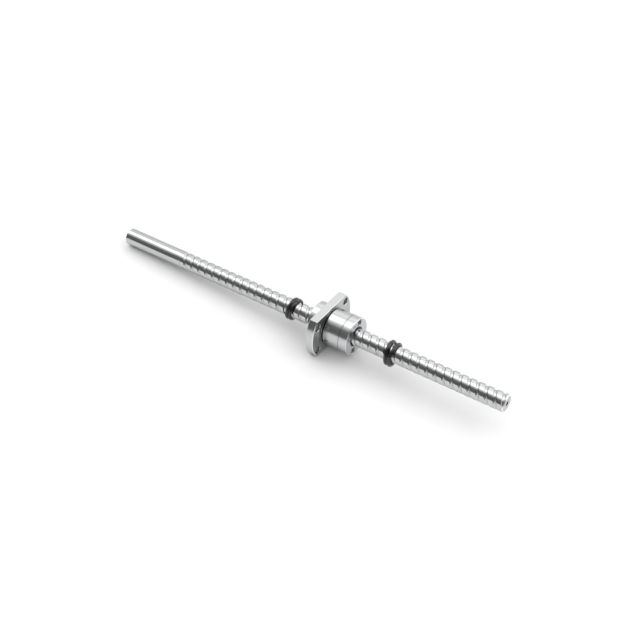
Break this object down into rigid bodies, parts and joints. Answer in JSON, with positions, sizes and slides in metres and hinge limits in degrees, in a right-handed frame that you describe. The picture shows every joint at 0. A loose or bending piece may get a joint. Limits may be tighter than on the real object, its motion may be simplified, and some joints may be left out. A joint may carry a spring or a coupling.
{
  "type": "ball screw assembly",
  "caption": "Miniature ball screw: a double-start right-hand screw with a plain end, in a flanged ball nut with bolted end caps and rubber stop rings.",
  "frame": {"origin": "centre of the flange's mounting face, on the screw axis", "axes": "+X along the screw, from the plain end towards the threaded end, and the way the mounting face looks; +Z square to the two flats of the flange; +Y along the flange's long axis"},
  "size_m": [0.2, 0.03, 0.0196],
  "materials": {
    "screw_steel": "ground and polished",
    "nut_steel": "fine ground",
    "cap_steel": "fine turned",
    "fastener_steel": "plain stainless",
    "ball_steel": "polished",
    "guide_resin": "moulded",
    "wiper_rubber": "moulded",
    "ring_rubber": "smooth black nitrile"
  },
  "bodies": {
    "nut": {"nut_body": "nut_steel", "front_end_cap": "cap_steel", "rear_end_cap": "cap_steel", "front_return_guide_1": "guide_resin", "front_return_guide_2": "guide_resin", "rear_return_guide_1": "guide_resin", "rear_return_guide_2": "guide_resin", "front_wiper": "wiper_rubber", "rear_wiper": "wiper_rubber", "front_cap_screw_1": "fastener_steel", "front_cap_screw_2": "fastener_steel", "rear_cap_screw_1": "fastener_steel", "rear_cap_screw_2": "fastener_steel", "loaded_balls_1": "ball_steel", "loaded_balls_2": "ball_steel", "return_balls_1": "ball_steel", "return_balls_2": "ball_steel"},
    "stop_rings": {"rear_stop_ring_outer": "ring_rubber", "rear_stop_ring_inner": "ring_rubber", "front_stop_ring_inner": "ring_rubber", "front_stop_ring_outer": "ring_rubber"},
    "screw": {"screw_shaft": "screw_steel"}
  },
  "joints": [
    {"name": "screw_travel", "type": "slide", "parent": "nut", "child": "stop_rings", "axis": [1, 0, 0], "range_m": [-0.0157, 0.0098]},
    {"name": "screw_spin", "type": "hinge", "parent": "stop_rings", "child": "screw", "pos_m": [0, 0, 0], "axis": [1, 0, 0], "range_deg": [-702, 436.5]}
  ],
  "couplings": [
    {"joint": "screw_travel", "follows": "screw_spin", "m_per_rad": 0.0012732}
  ]
}
